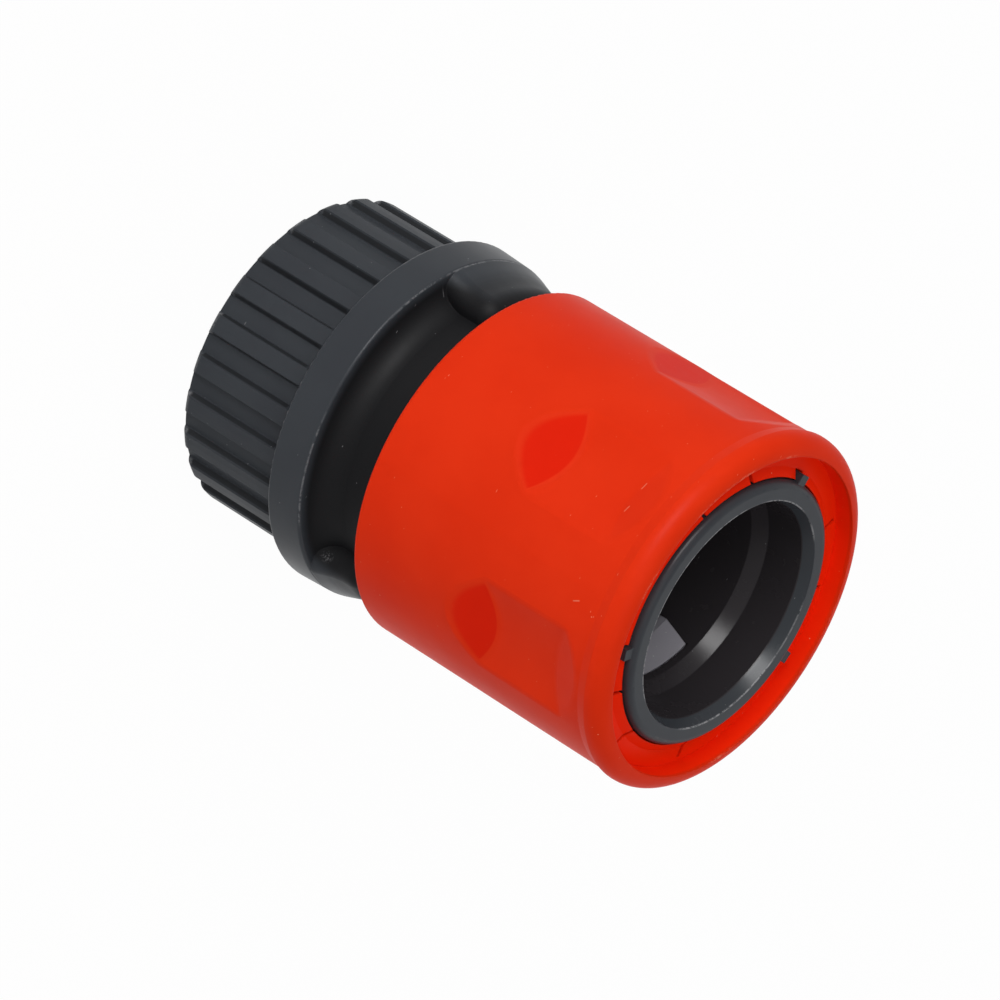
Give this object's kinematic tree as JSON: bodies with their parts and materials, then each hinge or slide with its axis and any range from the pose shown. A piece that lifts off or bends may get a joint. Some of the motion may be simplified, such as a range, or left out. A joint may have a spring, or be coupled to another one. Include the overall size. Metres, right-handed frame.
{
  "type": "garden hose quick connector",
  "caption": "Push-fit garden hose connector: a barbed tail and ribbed nut clamp the hose, and a spring-loaded sleeve works claws that lock a plug-in adapter.",
  "frame": {"origin": "on the axis, in the plane of the hose nut's rear end, which the connector stands on", "axes": "+Z along the axis from the hose end to the socket; -Y is the side nearest the picture's camera"},
  "size_m": [0.035, 0.035, 0.0525],
  "materials": {
    "nut_plastic": "satin",
    "collet_plastic": "satin",
    "body_plastic": "satin",
    "sleeve_plastic": "satin",
    "spring_steel": "bright drawn wire",
    "claw_plastic": "satin"
  },
  "bodies": {
    "nut": {"hose_nut": "nut_plastic"},
    "collet": {"clamp_collet": "collet_plastic"},
    "coupling": {"coupling_body": "body_plastic", "return_spring": "spring_steel"},
    "sleeve": {"release_sleeve": "sleeve_plastic"},
    "claw_1": {"locking_claw_1": "claw_plastic"},
    "claw_2": {"locking_claw_2": "claw_plastic"}
  },
  "joints": [
    {"name": "nut_turn", "type": "hinge", "parent": "nut", "child": "collet", "pos_m": [0, 0, 0], "axis": [0, 0, 1], "range_deg": [0, 720]},
    {"name": "nut_lead", "type": "slide", "parent": "collet", "child": "coupling", "axis": [0, 0, 1], "range_m": [0, 0.006]},
    {"name": "sleeve_pull", "type": "slide", "parent": "coupling", "child": "sleeve", "axis": [0, 0, -1], "range_m": [0, 0.0036], "stiffness_N_per_m": 1500, "springref_m": -0.0007, "deforming": ["return_spring"]},
    {"name": "claw_1_draw", "type": "slide", "parent": "coupling", "child": "claw_1", "axis": [0.766, 0.6428, 0], "range_m": [0, 0.001]},
    {"name": "claw_2_draw", "type": "slide", "parent": "coupling", "child": "claw_2", "axis": [-0.766, -0.6428, 0], "range_m": [0, 0.001]}
  ],
  "couplings": [
    {"joint": "nut_lead", "follows": "nut_turn", "m_per_rad": 0.00047746},
    {"joint": "claw_1_draw", "follows": "sleeve_pull", "ratio": 0.27778},
    {"joint": "claw_2_draw", "follows": "sleeve_pull", "ratio": 0.27778}
  ]
}
